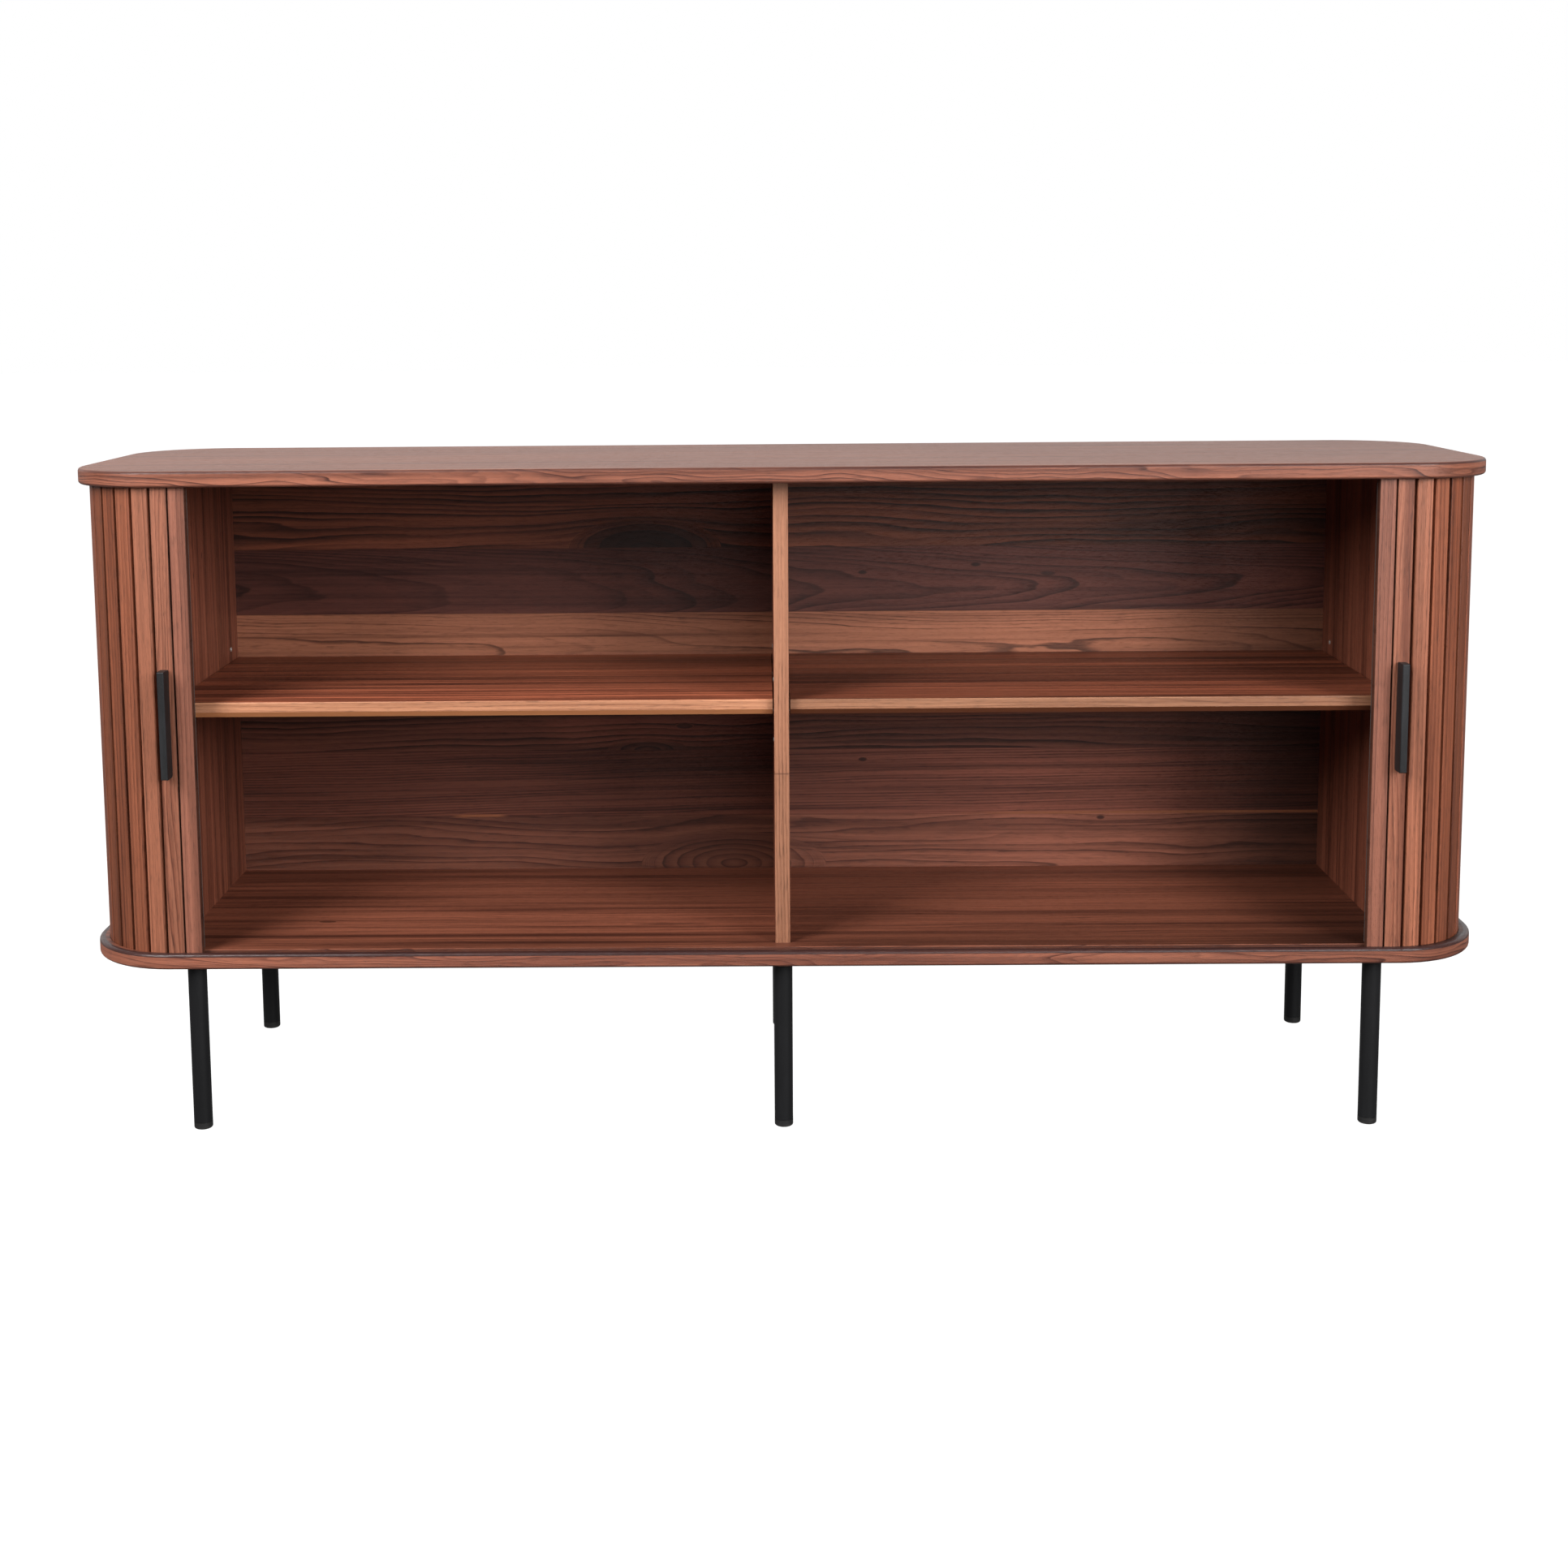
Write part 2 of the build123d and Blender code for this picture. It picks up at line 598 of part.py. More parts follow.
print(f"door travel {TRAVEL:.1f} mm, lead edge {LEAD_X:.1f} mm, tail {tail_x:.1f} mm from centre")
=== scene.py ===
"""Looks of the media cabinet: walnut, canvas, powder-coated steel, a plain studio and the camera.

Everything is in metres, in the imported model's own frame: X is the width, the front faces -Y, Z is up.
"""
import json
from math import cos, pi, radians, sin

import bpy
from mathutils import Matrix, Vector


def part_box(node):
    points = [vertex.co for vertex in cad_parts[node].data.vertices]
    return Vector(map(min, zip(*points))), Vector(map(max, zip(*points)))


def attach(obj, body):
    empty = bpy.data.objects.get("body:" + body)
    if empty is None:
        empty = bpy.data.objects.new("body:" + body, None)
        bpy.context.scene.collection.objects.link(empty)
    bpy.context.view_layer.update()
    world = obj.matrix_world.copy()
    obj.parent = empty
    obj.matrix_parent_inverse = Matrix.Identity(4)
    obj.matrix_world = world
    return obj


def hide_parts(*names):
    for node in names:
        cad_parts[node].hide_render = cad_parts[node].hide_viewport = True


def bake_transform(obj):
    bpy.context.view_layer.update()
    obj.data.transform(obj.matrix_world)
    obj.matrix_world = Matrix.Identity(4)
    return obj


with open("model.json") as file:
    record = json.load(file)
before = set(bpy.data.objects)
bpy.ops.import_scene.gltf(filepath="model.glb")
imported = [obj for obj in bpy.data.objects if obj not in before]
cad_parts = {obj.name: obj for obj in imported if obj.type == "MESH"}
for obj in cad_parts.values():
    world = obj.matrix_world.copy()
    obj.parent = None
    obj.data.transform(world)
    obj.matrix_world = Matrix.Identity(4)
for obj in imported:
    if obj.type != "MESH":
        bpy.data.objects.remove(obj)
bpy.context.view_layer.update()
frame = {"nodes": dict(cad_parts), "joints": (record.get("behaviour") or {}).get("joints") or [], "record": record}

# ---- Places read from the frame ----
board_low, board_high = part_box("top_board")
floor_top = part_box("bottom_board")[1].z
front = board_low.y
rear = board_high.y
half_width = board_high.x
mid_y = (front + rear) / 2
lead_low, lead_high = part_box("right_lead_slat")
handle_low, handle_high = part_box("right_handle_slat")
pitch = (handle_low.x + handle_high.x - lead_low.x - lead_high.x) / 2
slat_width = lead_high.x - lead_low.x
lead_edge = lead_low.x - (pitch - slat_width) / 2
slat_back = lead_high.y
canvas_low, canvas_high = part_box("right_curtain_canvas")
lead_canvas_low, lead_canvas_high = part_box("right_lead_canvas")
canvas = lead_canvas_high.y - lead_canvas_low.y
canvas_split = lead_canvas_high.x + (pitch - slat_width) / 2
travel = next(j for j in frame["joints"] if j["name"] == "right_door_slide")["range_m"][1]

# ---- Plan of the rounded outlines ----
BOARD_R = 0.104
SLAT_BACK_R = 0.088
SLAT_CORNER_X = 0.690
slat_corner_front = slat_back + SLAT_BACK_R
slat_corner_rear = canvas_high.y - SLAT_BACK_R


def srgb(red, green, blue):
    """Linear colour of a screen colour given in 0 to 255."""
    return tuple((c / 255) ** 2.2 for c in (red, green, blue)) + (1.0,)


# ---- Writing node trees ----
class Field:
    """A number that varies over a surface. Arithmetic on it adds Math nodes to its tree."""

    def __init__(self, socket):
        self.socket = socket
        self.tree = socket.node.id_data

    def math(self, operation, *others):
        return calculate(self.tree, operation, self, *others)

    def __add__(self, other):
        return self.math("ADD", other)

    def __radd__(self, other):
        return self.math("ADD", other)

    def __sub__(self, other):
        return self.math("SUBTRACT", other)

    def __rsub__(self, other):
        return calculate(self.tree, "SUBTRACT", other, self)

    def __mul__(self, other):
        return self.math("MULTIPLY", other)

    def __truediv__(self, other):
        return self.math("DIVIDE", other)

    def __abs__(self):
        return self.math("ABSOLUTE")

    def above(self, edge):
        return self.math("GREATER_THAN", edge)

    def rise(self, low, high):
        """0 below low, 1 above high and a smooth step between them. low may be the larger."""
        node = self.tree.nodes.new("ShaderNodeMapRange")
        node.interpolation_type = "SMOOTHSTEP"
        put(node.inputs["Value"], self)
        put(node.inputs["From Min"], low)
        put(node.inputs["From Max"], high)
        return Field(node.outputs["Result"])


def put(socket, value):
    """Link a field or a socket into a socket, or set a plain value on it."""
    if isinstance(value, Field):
        value = value.socket
    if isinstance(value, bpy.types.NodeSocket):
        socket.id_data.links.new(value, socket)
    else:
        socket.default_value = value


def calculate(tree, operation, *values):
    node = tree.nodes.new("ShaderNodeMath")
    node.operation = operation
    for socket, value in zip(node.inputs, values):
        put(socket, value)
    return Field(node.outputs[0])


def point(tree, x, y, z):
    node = tree.nodes.new("ShaderNodeCombineXYZ")
    for socket, value in zip(node.inputs, (x, y, z)):
        put(socket, value)
    return node.outputs[0]


def split(tree, vector):
    node = tree.nodes.new("ShaderNodeSeparateXYZ")
    put(node.inputs[0], vector)
    return [Field(socket) for socket in node.outputs]


def place_and_facing(tree):
    """X, Y and Z of the shaded point and of its normal, in the piece's own frame."""
    source = tree.nodes.new("ShaderNodeTexCoord")
    return split(tree, source.outputs["Object"]), split(tree, source.outputs["Normal"])


def noise(tree, x, y, z, detail=2.0, roughness=0.5):
    """Fractal noise about 0.5 at a point given in noise cells."""
    node = tree.nodes.new("ShaderNodeTexNoise")
    put(node.inputs["Vector"], point(tree, x, y, z))
    put(node.inputs["Scale"], 1.0)
    put(node.inputs["Detail"], detail)
    put(node.inputs["Roughness"], roughness)
    return Field(node.outputs[0])


def blend(tree, amount, first, second, kind="MIX"):
    node = tree.nodes.new("ShaderNodeMix")
    node.data_type = "RGBA"
    node.blend_type = kind
    put(node.inputs["Factor"], amount)
    colours = [socket for socket in node.inputs if socket.type == "RGBA"]
    put(colours[0], first)
    put(colours[1], second)
    return next(socket for socket in node.outputs if socket.type == "RGBA")


def shade(tree, colour, factor):
    """A colour made darker or lighter by a field."""
    return blend(tree, 1.0, colour, point(tree, factor, factor, factor), kind="MULTIPLY")


def choose(tree, number, colours):
    """The colour at a whole number counted from 0. The last one holds for all above it."""
    node = tree.nodes.new("ShaderNodeValToRGB")
    node.color_ramp.interpolation = "CONSTANT"
    stops = node.color_ramp.elements
    stops[0].color = colours[0]
    stops[1].position = (1 - 0.5) / len(colours)
    stops[1].color = colours[1]
    for index, colour in enumerate(colours[2:], start=2):
        stops.new((index - 0.5) / len(colours)).color = colour
    put(node.inputs[0], number / len(colours))
    return node.outputs[0]


def material(name):
    made = bpy.data.materials.new(name)
    made.use_nodes = True
    return made, made.node_tree, made.node_tree.nodes["Principled BSDF"]


def bump(tree, height, distance, strength=1.0):
    node = tree.nodes.new("ShaderNodeBump")
    put(node.inputs["Height"], height)
    put(node.inputs["Distance"], distance)
    put(node.inputs["Strength"], strength)
    return node.outputs[0]


# ---- Walnut ----
LINE = srgb(66, 36, 28)
SAP = srgb(150, 92, 62)
KNOT_DARK = srgb(38, 22, 18)
KNOT_DEPTH = 0.94           # how far a knot's middle goes towards that colour
WOOD_BUMP = 0.00012
WOOD_SPECULAR = 0.30
COAT_SPECULAR = 0.25


class Knot:
    """A knot, or an eye in the grain. Sizes are half lengths along and across the grain."""

    def __init__(self, along, across, length, height, rings=2.0, dark=0.6, push=0.9, below=True):
        self.along = along
        self.across = across
        self.length = length
        self.height = height
        self.rings = rings          # closed rings inside it
        self.dark = dark
        self.push = push            # how far the grain round it gives way
        self.below = below          # whether it also shows below its middle


def pick(across, seams, values):
    """A number that has one value between each two seams."""
    result = values[0]
    for seam, before, after in zip(seams, values, values[1:]):
        if after != before:
            result = result + across.above(seam) * (after - before)
    return result


def walnut(tree, along, across, depth, seed, tone, straight=170.0, warp=1.0, slope=0.0, curve=0.0,
           vee=0.0, axis=0.0, bands=0.6, lines=0.5, reach=2.2, width=13.0, stripes=0.5, knots=()):
    """Colour, roughness and height of walnut at a point of a board.

    along runs with the grain, across over the board's width, and depth into it. The growth rings are
    contour lines of a smooth field: straight is their number per metre of width, curve and vee fold
    them into cathedrals about the line across = axis, and warp is how many rings they stray. bands,
    lines and stripes are the contrasts of the rings, of their dark lines and of broad streaks. Each
    noise below takes its cells per metre along and across the grain.
    """
    shadow = 0.0
    eyes = []
    for knot in knots:
        run = (along - knot.along) / knot.length
        rise = (across - knot.across) / knot.height
        far = run * run + rise * rise
        spread = (far * -1.0).math("EXPONENT")
        inside = far.rise(1.0, 0.72)
        if not knot.below:
            spread = spread * across.above(knot.across)
            inside = inside * across.above(knot.across)
        across = across - (across - knot.across) * spread * knot.push
        eyes.append((inside, far.math("SQRT") * knot.rings))
        shadow = shadow + far.rise(1.2, 0.1) * inside * knot.dark

    stray = noise(tree, along * reach, across * width, seed * 3.1, detail=2.0, roughness=0.42) - 0.5
    ripple = noise(tree, along * 9.0, across * 55.0, seed * 1.7 + 5.0, detail=3.0) - 0.5
    off_axis = across - axis
    ring = (off_axis + along * slope) * straight + off_axis * off_axis * curve + along * vee
    ring = ring + stray * warp * 4.0 + ripple * 0.9 + depth * 120.0
    for inside, closed in eyes:
        ring = ring + (closed + ripple * 0.9 - ring) * inside
    phase = ring.math("FRACT")
    count = ring.math("FLOOR")
    weight = noise(tree, count * 0.77, seed * 2.0, along * 2.0, detail=1.0)
    band = phase.rise(0.05, 0.90) * phase.rise(1.0, 0.90) * weight.rise(0.22, 0.66)
    line = phase.rise(0.70, 0.90) * phase.rise(1.0, 0.93) * weight.rise(0.35, 0.60)

    cloud = noise(tree, along * 2.6, across * 20.0, seed * 5.0, detail=3.0)
    stripe = noise(tree, along * 0.8, across * 46.0, seed * 2.3 + depth * 46.0,
                   detail=3.0, roughness=0.6)
    streak = noise(tree, along * 1.8, across * 165.0, seed + depth * 165.0,
                   detail=4.0, roughness=0.62)
    fibre = noise(tree, along * 16.0, across * 700.0, depth * 700.0 + seed,
                  detail=4.0, roughness=0.65)
    dash = noise(tree, along * 52.0, across * 480.0, seed + depth * 480.0, detail=2.0).rise(0.52, 0.70)
    pore = noise(tree, along * 120.0, across * 3100.0, seed + depth * 3100.0, detail=1.0)
    pore = pore.rise(0.58, 0.72)

    colour = blend(tree, band * bands + cloud.rise(0.35, 0.75) * 0.15, tone[0], tone[1])
    colour = blend(tree, line * lines, colour, tone[2])
    streaked = streak.rise(0.52, 0.72) * 0.50 + stripe.rise(0.50, 0.74) * stripes * 0.8
    colour = blend(tree, streaked, colour, tone[1])
    light = (fibre - 0.5) * 0.50 + (0.5 - streak) * 0.9 + (0.5 - stripe) * stripes \
        + (0.5 - cloud) * 0.30 + 0.10
    pores = (1.0 - dash * (0.16 + band * 0.20)) * (1.0 - pore * 0.20)
    colour = shade(tree, colour, (1.0 + light) * pores)
    if knots:
        colour = blend(tree, shadow.math("MINIMUM", KNOT_DEPTH), colour, KNOT_DARK)
    rough = 0.42 + (fibre - 0.5) * 0.20 + pore * 0.14 + dash * 0.05
    height = fibre * 0.30 - pore * 0.8 - dash * 0.35 - line * 0.25
    return colour, rough, height


def finish_wood(name, build, roughness_shift=0.0):
    """A wood material from a function that returns colour, roughness and height."""
    made, tree, shader = material(name)
    place, facing = place_and_facing(tree)
    colour, rough, height = build(tree, place, facing)
    put(shader.inputs["Base Color"], colour)
    put(shader.inputs["Roughness"], rough + roughness_shift)
    put(shader.inputs["Normal"], bump(tree, height, WOOD_BUMP))
    shader.inputs["Specular IOR Level"].default_value = WOOD_SPECULAR
    return made


def around(tree, x, y, corner_x, corner_front, corner_rear, radius):
    """Distance along a rounded outline from the middle of its front, the same on both sides."""
    out = abs(x)
    flat = out.math("MINIMUM", corner_x)
    past = (out - corner_x).math("MAXIMUM", 0.0)
    ahead = (corner_front - y).math("MAXIMUM", 0.0)
    behind = (y - corner_rear).math("MAXIMUM", 0.0)
    first = calculate(tree, "ARCTAN2", past, ahead + 1e-6) * y.math("LESS_THAN", mid_y)
    later = y.math("GREATER_THAN", mid_y) * (pi / 2)
    second = calculate(tree, "ARCTAN2", behind, past + 1e-6)
    side = (y - corner_front).math("MAXIMUM", 0.0).math("MINIMUM", corner_rear - corner_front)
    back = behind.above(radius * 0.7) * (corner_x - flat)
    return flat + (first + later + second) * radius + side + back


def along_curtain(tree, x, y):
    """Distance from the middle of the front along the line of the slat backs."""
    return around(tree, x, y, SLAT_CORNER_X, slat_corner_front, slat_corner_rear, SLAT_BACK_R)


def steps(across, seams):
    """How many of the seams lie below a point, as a field."""
    count = across.above(seams[0])
    for seam in seams[1:]:
        count = count + across.above(seam)
    return count


def seam_line(across, seams, half=0.0004):
    """1 on a glue line and 0 elsewhere."""
    return sum((abs(across - seam).rise(half * 2, half) for seam in seams), 0.0)


BOARD_TONE = (srgb(121, 76, 57), srgb(91, 52, 39), srgb(52, 30, 24))
FLOOR_TONE = (srgb(112, 66, 50), srgb(76, 42, 32), srgb(42, 23, 18))
EDGE_TONE = (srgb(127, 79, 62), srgb(90, 54, 44), srgb(57, 32, 26))
ARRIS_DARK = srgb(62, 37, 33)
RIM_DARK = srgb(54, 37, 36)
GROOVE_SHADE = srgb(58, 34, 28)
BETWEEN_BOARDS = (floor_top + board_low.z) / 2
FLOOR_SEAMS = tuple(front + d for d in (0.062, 0.111, 0.188, 0.262, 0.330))
FLOOR_KNOTS = (
    Knot(-0.130, front + 0.112, 0.055, 0.0030, rings=1.0, dark=0.75),
    Knot(-0.540, front + 0.128, 0.012, 0.0040, rings=1.0, dark=0.7),
)


def board_wood(tree, place, facing):
    """Top and bottom boards: veneered faces, a banded edge that follows the outline, dark arrises."""
    x, y, z = place
    upper = z.above(BETWEEN_BOARDS)
    stave = steps(y, FLOOR_SEAMS)
    tone = [blend(tree, upper, low, high) for low, high in zip(FLOOR_TONE, BOARD_TONE)]
    face = walnut(tree, x, y, z, upper * 4.0 + stave * 1.3 + 2.0, tone, straight=130.0, warp=1.6,
                  bands=0.55, lines=0.4, stripes=1.5 - upper * 0.9, knots=FLOOR_KNOTS)
    tint = 1.0 + (noise(tree, stave * 2.9, upper * 5.0, 3.0, detail=0.0) - 0.5) * (0.5 - upper * 0.35)
    depth = y - front
    # Painted light and shade on the floor of the bays: it is made paler towards the back and on the left, and
    # darker along the front strip, at the right-hand end and at the right front.
    paler = depth.rise(0.10, 0.30) * 0.22 + x.rise(0.0, -0.1) * 0.10 - depth.rise(0.080, 0.050) * 0.22
    paler = paler - x.rise(0.45, 0.68) * 0.46 - x.rise(0.0, 0.1) * depth.rise(0.20, 0.10) * 0.16
    face = (shade(tree, face[0], tint * (1.0 + paler * (1.0 - upper))),) + face[1:]
    run = around(tree, x, y, half_width - BOARD_R, front + BOARD_R, rear - BOARD_R, BOARD_R)
    signed_run = run * x.math("SIGN")
    edge = walnut(tree, signed_run, z, 0.0, upper * 6.0 + 9.0, EDGE_TONE, straight=150.0, warp=2.6,
                  slope=0.06, bands=0.9, lines=0.85, reach=5.0, width=36.0, stripes=0.9)
    edge = (shade(tree, edge[0], 1.0 + (1.0 - upper) * x.rise(0.45, 0.20) * 0.38),) + edge[1:]
    flat = facing[2].rise(0.93, 0.985) + facing[2].rise(-0.93, -0.985)
    worn = noise(tree, signed_run * 5.0, z * 60.0, 4.0, detail=3.0).rise(0.30, 0.60)
    upper_arris = facing[2].rise(0.10, 0.35) * facing[2].rise(0.96, 0.80)
    lower_arris_line_and_shade = facing[2].rise(-0.15, -0.40)
    past_x = abs(x) - (half_width - BOARD_R)
    past_y = abs(y - mid_y) - (rear - mid_y - BOARD_R)
    out_x = past_x.math("MAXIMUM", 0.0)
    out_y = past_y.math("MAXIMUM", 0.0)
    inward = BOARD_R - (out_x * out_x + out_y * out_y).math("SQRT") \
        - past_x.math("MAXIMUM", past_y).math("MINIMUM", 0.0)
    rim = inward.rise(0.0070, 0.0062) * facing[2].rise(0.01, 0.08) * (1.0 - upper)
    # Painted shade: the walls of the groove along the front of the floor are darkened as if in shade.
    below = floor_top - z
    groove = below.rise(0.0004, 0.0012) * below.rise(0.0075, 0.0065) \
        * inward.rise(0.0050, 0.0060) * inward.rise(0.0215, 0.0205)
    colour = blend(tree, flat, edge[0], face[0])
    # The darkening of the lower arrises is partly a dark line in the wood and partly painted shade under the edge.
    dark = (upper_arris * upper * (0.45 + worn * 0.45) + lower_arris_line_and_shade * 0.6).math("MINIMUM", 0.95)
    colour = blend(tree, dark, colour, ARRIS_DARK)
    colour = blend(tree, rim * (0.88 + worn * 0.10), colour, RIM_DARK)
    colour = blend(tree, groove * 0.8, colour, GROOVE_SHADE)
    rough = edge[1] + (face[1] - edge[1]) * flat - rim * 0.12
    return colour, rough, edge[2] + (face[2] - edge[2]) * flat


UPRIGHT_SEAMS = (front + 0.270,)
DARK_STRIP = front + 0.281
FINGER_JOINT = 0.410        # height of the joint in the divider's front edge
FRONT_EDGE_TONE = (srgb(142, 98, 76), srgb(114, 74, 55), srgb(90, 54, 40))
UPRIGHT_TONE = (srgb(116, 68, 52), srgb(85, 47, 36), LINE)
UPRIGHT_KNOTS = (
    Knot(0.643, front + 0.208, 0.0050, 0.0022, rings=1.0, dark=0.85),
    Knot(0.624, front + 0.167, 0.0050, 0.0022, rings=1.0, dark=0.85),
)


def upright_wood(tree, place, facing):
    """Side panels and divider: vertical boards, with a paler banded front edge."""
    x, y, z = place
    board = steps(y, UPRIGHT_SEAMS)
    seed = board * 2.3 + x * 5.0
    body = walnut(tree, z, y, x, seed, UPRIGHT_TONE, straight=95.0, warp=1.3, bands=0.65, lines=0.45,
                  reach=1.2, stripes=1.6, knots=UPRIGHT_KNOTS)
    colour = blend(tree, seam_line(y, UPRIGHT_SEAMS, half=0.0012) * 0.6, body[0], LINE)
    strip = abs(y - DARK_STRIP).rise(0.009, 0.006) * x.math("LESS_THAN", 0.0)
    upper_left = x.math("LESS_THAN", -0.3) * z.rise(0.42, 0.60)
    colour = shade(tree, colour, (1.0 - strip * 0.32) * (1.0 + upper_left * 0.24))
    pale_line = abs(y - UPRIGHT_SEAMS[0] + 0.0018).rise(0.0012, 0.0004) * x.math("LESS_THAN", 0.0)
    colour = blend(tree, pale_line * 0.55, colour, SAP)
    band = walnut(tree, z, x, y, 21.0, FRONT_EDGE_TONE,
                  straight=260.0, warp=0.9, slope=0.006, bands=0.6, lines=0.45)
    joined = z.above(FINGER_JOINT)
    front_edge = shade(tree, band[0], 0.94 + joined * 0.12)
    front_edge = blend(tree, seam_line(z, (FINGER_JOINT,), half=0.0006) * 0.5, front_edge, LINE)
    ahead = (facing[1] * -1.0).rise(0.4, 0.8)
    colour = blend(tree, ahead, colour, front_edge)
    return colour, body[1], body[2]


BACK_SEAMS = (0.283, 0.369, 0.4585, 0.548, 0.631)
BACK_PALE = (srgb(109, 67, 53), srgb(104, 61, 49), srgb(109, 65, 52),
             srgb(142, 91, 69), srgb(82, 48, 41), srgb(116, 66, 48))
BACK_DARK = (srgb(71, 41, 33), srgb(64, 36, 29), srgb(64, 37, 29),
             srgb(102, 61, 45), srgb(54, 30, 26), srgb(57, 32, 25))
BACK_LINE = srgb(46, 27, 22)
BACK_SEEDS = (1.0, 3.3, 4.6, 7.4, 9.1, 12.0)
BACK_STRAIGHT = (120.0, 270.0, 130.0, 12.0, 40.0, 112.0)
BACK_CURVE = (0.0, 0.0, 0.0, 2400.0, 2600.0, 0.0)
BACK_VEE = (0.0, 0.0, 0.0, 6.0, 15.0, 0.0)
BACK_AXIS = (0.213, 0.283, 0.369, 0.498, 0.585, 0.631)
BACK_SLOPE = (-0.015, -0.020, 0.0, 0.0, 0.0, 0.006)
BACK_WARP = (2.6, 1.2, 1.7, 2.6, 2.4, 1.8)
BACK_BANDS = (0.70, 0.75, 0.95, 0.30, 0.75, 1.00)
BACK_LINES = (0.60, 0.60, 0.80, 0.75, 0.75, 0.85)
# Painted light and shade on the inner back, plank by plank: the right-hand bay is made paler, and its far end
# darker where the side panel shades it.
BACK_RIGHT_PAINTED_LIGHT = (0.70, 0.75, 0.14, 0.30, 0.34, -0.08)      # how much paler the right-hand bay is
BACK_END_PAINTED_SHADE = (1.25, 1.25, 0.68, 0.68, -0.10, -0.10)       # and how much darker its far end
EYE = (-0.15, 0.416)        # x and z of a paler patch over the lower eye
SMOKY_Z = 0.662
SAP_X = -0.388
SAP_Z = 0.2835
BACK_KNOTS = (
    Knot(-0.170, 0.6312, 0.098, 0.038, rings=5.0, dark=0.95, below=False),
    Knot(-0.170, 0.3692, 0.052, 0.015, rings=3.0, dark=0.35, below=False),
    Knot(-0.122, 0.400, 0.012, 0.004, rings=1.0, dark=0.7),
    Knot(-0.060, 0.219, 0.120, 0.042, rings=6.5, dark=0.10, push=0.6),
    Knot(0.107, 0.598, 0.006, 0.003, rings=1.0, dark=0.9),
    Knot(0.251, 0.607, 0.007, 0.003, rings=1.0, dark=0.9),
    Knot(0.343, 0.595, 0.010, 0.003, rings=1.0, dark=0.7),
    Knot(0.107, 0.355, 0.006, 0.003, rings=1.0, dark=0.9),
    Knot(0.414, 0.277, 0.006, 0.003, rings=1.0, dark=0.9),
)


def back_wood(tree, place, facing):
    """Inner back: horizontal planks glued edge to edge, one of them pale, with knots."""
    x, y, z = place
    plank = steps(z, BACK_SEAMS)
    pale = choose(tree, plank, BACK_PALE)
    dark = choose(tree, plank, BACK_DARK)
    seed, straight, curve, vee, axis, slope, warp, bands, lines = (
        pick(z, BACK_SEAMS, values) for values in (
            BACK_SEEDS, BACK_STRAIGHT, BACK_CURVE, BACK_VEE, BACK_AXIS,
            BACK_SLOPE, BACK_WARP, BACK_BANDS, BACK_LINES))
    body = walnut(tree, x, z, y, seed, (pale, dark, BACK_LINE), straight, warp, slope, curve, vee,
                  axis, bands, lines, stripes=0.7, knots=BACK_KNOTS)
    colour = blend(tree, seam_line(z, BACK_SEAMS) * 0.5, body[0], LINE)
    # Painted light and shade: paler over the right-hand bay, darker at its far end.
    right, end = (pick(z, BACK_SEAMS, values) for values in (BACK_RIGHT_PAINTED_LIGHT, BACK_END_PAINTED_SHADE))
    paler = 1.0 + x.rise(-0.1, 0.3) * right - x.rise(0.44, 0.66) * end
    round_eye = abs(x - EYE[0]).rise(0.17, 0.11) * abs(z - EYE[1]).rise(0.046, 0.034)
    colour = shade(tree, colour, paler + round_eye * 0.45)
    smoky = x.rise(0.36, 0.46) * abs(z - SMOKY_Z).rise(0.034, 0.008)
    colour = shade(tree, colour, 1.0 - smoky * 0.35)
    sap_run = abs(x - SAP_X).rise(0.040, 0.020) + x.rise(0.20, 0.34)
    colour = blend(tree, abs(z - SAP_Z).rise(0.0026, 0.0006) * sap_run * 0.7, colour, SAP)
    return colour, body[1], body[2]


LEAF = 0.46                 # width of a veneer leaf on the outer back


def outer_back_wood(tree, place, facing):
    """Outer back: one calm sheet of crown-cut veneer in three flitches."""
    x, y, z = place
    leaf = steps(x, (-LEAF / 2, LEAF / 2))
    body = walnut(tree, z, x - leaf * LEAF + LEAF, y, 31.0, BOARD_TONE, straight=0.0, curve=900.0,
                  vee=7.0, warp=2.2, bands=0.6, lines=0.5)
    colour = blend(tree, seam_line(x, (-LEAF / 2, LEAF / 2)) * 0.4, body[0], LINE)
    return colour, body[1], body[2]


SHELF_TONE = (srgb(121, 68, 49), srgb(78, 42, 31), srgb(50, 25, 20))
SHELF_EDGE_TONE = (srgb(152, 106, 80), srgb(120, 77, 56), srgb(86, 51, 38))
BEVEL_TONES = (srgb(208, 136, 90), srgb(103, 58, 38))       # left and right shelf
SHELF_SEAMS = tuple(front + d for d in (0.075, 0.118, 0.163, 0.214, 0.262, 0.309))


